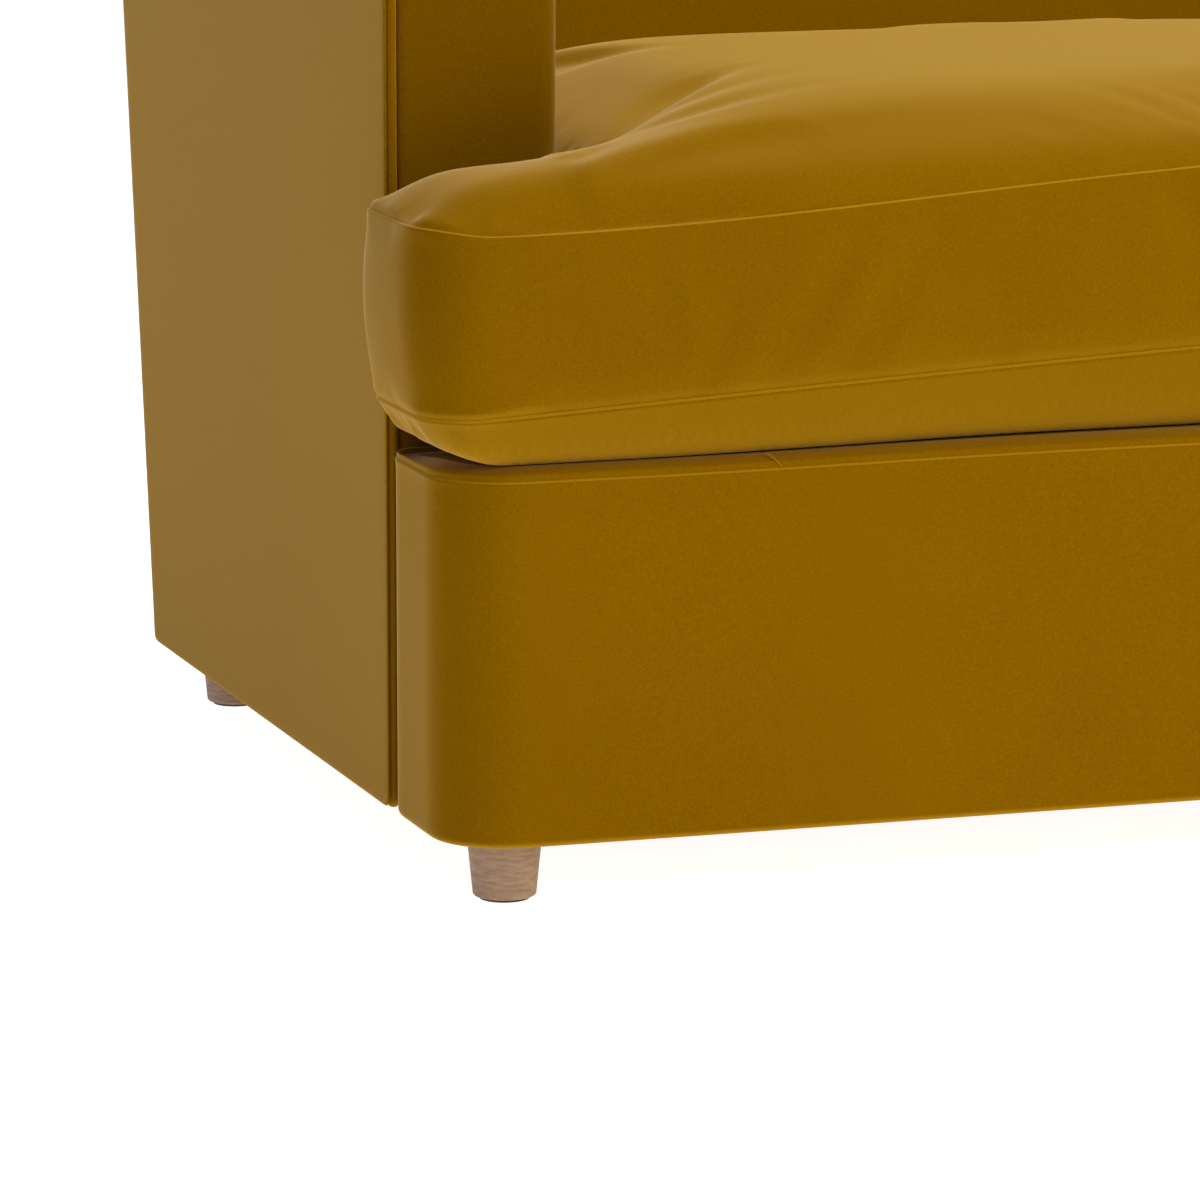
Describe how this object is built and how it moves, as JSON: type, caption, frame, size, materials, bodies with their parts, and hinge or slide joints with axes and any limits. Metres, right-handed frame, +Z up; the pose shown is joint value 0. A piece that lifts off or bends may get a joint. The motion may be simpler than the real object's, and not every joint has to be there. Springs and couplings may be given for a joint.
{
  "type": "storage settee",
  "caption": "Upholstered two-seat settee with a T-shaped seat cushion on a deck that lifts up and forward over a storage well, on short tapered wooden feet.",
  "frame": {"origin": "on the floor, under the middle of the bounding box", "axes": "+X to the sitter's left when seated (right as seen from the front), -Y towards the front, +Z up"},
  "size_m": [1.336, 0.8892, 0.82],
  "materials": {
    "velvet": "ochre cut-pile velvet, soft sheen",
    "foot_wood": "pale oiled hardwood, fine end-to-end grain",
    "plywood": "sanded birch plywood",
    "frame_timber": "planed softwood",
    "black_steel": "black powder coat",
    "zinc_steel": "zinc plate",
    "deck_felt": "charcoal needled felt",
    "dust_cloth": "black non-woven cloth",
    "webbing": "ribbed webbing",
    "bumper_rubber": "matt rubber",
    "glide_plastic": "matt nylon"
  },
  "bodies": {
    "base": {"arm_bolts": "zinc_steel", "arm_frame_left": "frame_timber", "arm_frame_right": "frame_timber", "arm_side_panel_left": "velvet", "arm_side_panel_right": "velvet", "arm_wrap_left": "velvet", "arm_wrap_right": "velvet", "back_frame": "frame_timber", "back_pad": "velvet", "back_webbing": "webbing", "base_rear_rail": "frame_timber", "base_side_rail_left": "frame_timber", "base_side_rail_right": "frame_timber", "deck_bumpers": "bumper_rubber", "dust_cover": "dust_cloth", "floor_bearers": "frame_timber", "foot_bolts": "zinc_steel", "foot_front_left": "foot_wood", "foot_front_right": "foot_wood", "foot_glides": "glide_plastic", "foot_inserts": "zinc_steel", "foot_rear_left": "foot_wood", "foot_rear_right": "foot_wood", "front_board": "plywood", "front_box_back_board": "plywood", "front_box_bottom_board": "plywood", "front_box_end_boards": "plywood", "front_box_top_board": "plywood", "front_cover": "velvet", "lift_spring_left": "zinc_steel", "lift_spring_right": "zinc_steel", "lift_stop_pegs": "zinc_steel", "mechanism_pins": "zinc_steel", "mechanism_plate_left": "black_steel", "mechanism_plate_right": "black_steel", "mechanism_screws": "zinc_steel", "outside_back": "velvet", "well_floor": "plywood"},
    "lift_links": {"lift_link_left": "black_steel", "lift_link_right": "black_steel", "link_cross_tube": "black_steel"},
    "follow_link_left": {"follow_link_left": "black_steel"},
    "follow_link_right": {"follow_link_right": "black_steel"},
    "deck": {"deck_side_rail_left": "frame_timber", "deck_side_rail_right": "frame_timber", "deck_front_rail": "frame_timber", "deck_rear_rail": "frame_timber", "deck_slats": "frame_timber", "deck_felt": "deck_felt", "deck_bracket_left": "black_steel", "deck_bracket_right": "black_steel", "deck_pins": "zinc_steel", "pull_strap": "webbing"},
    "cushion": {"seat_cushion": "velvet"}
  },
  "joints": [
    {"name": "seat_lift", "type": "hinge", "parent": "base", "child": "lift_links", "pos_m": [0, -0.2516, 0.191], "axis": [1, 0, 0], "range_deg": [0, 70]},
    {"name": "deck_level", "type": "hinge", "parent": "lift_links", "child": "deck", "pos_m": [0, 0.02415, 0.23962], "axis": [1, 0, 0], "range_deg": [-70, 0]},
    {"name": "follow_link_left_swing", "type": "hinge", "parent": "base", "child": "follow_link_left", "pos_m": [-0.5, -0.1016, 0.191], "axis": [1, 0, 0], "range_deg": [0, 70]},
    {"name": "follow_link_right_swing", "type": "hinge", "parent": "base", "child": "follow_link_right", "pos_m": [0.5, -0.1016, 0.191], "axis": [1, 0, 0], "range_deg": [0, 70]},
    {"name": "cushion_lift_off", "type": "slide", "parent": "deck", "child": "cushion", "axis": [0, 0, 1], "range_m": [0, 0.16]}
  ],
  "couplings": [
    {"joint": "deck_level", "follows": "seat_lift", "ratio": -1},
    {"joint": "follow_link_left_swing", "follows": "seat_lift", "ratio": 1},
    {"joint": "follow_link_right_swing", "follows": "seat_lift", "ratio": 1}
  ]
}
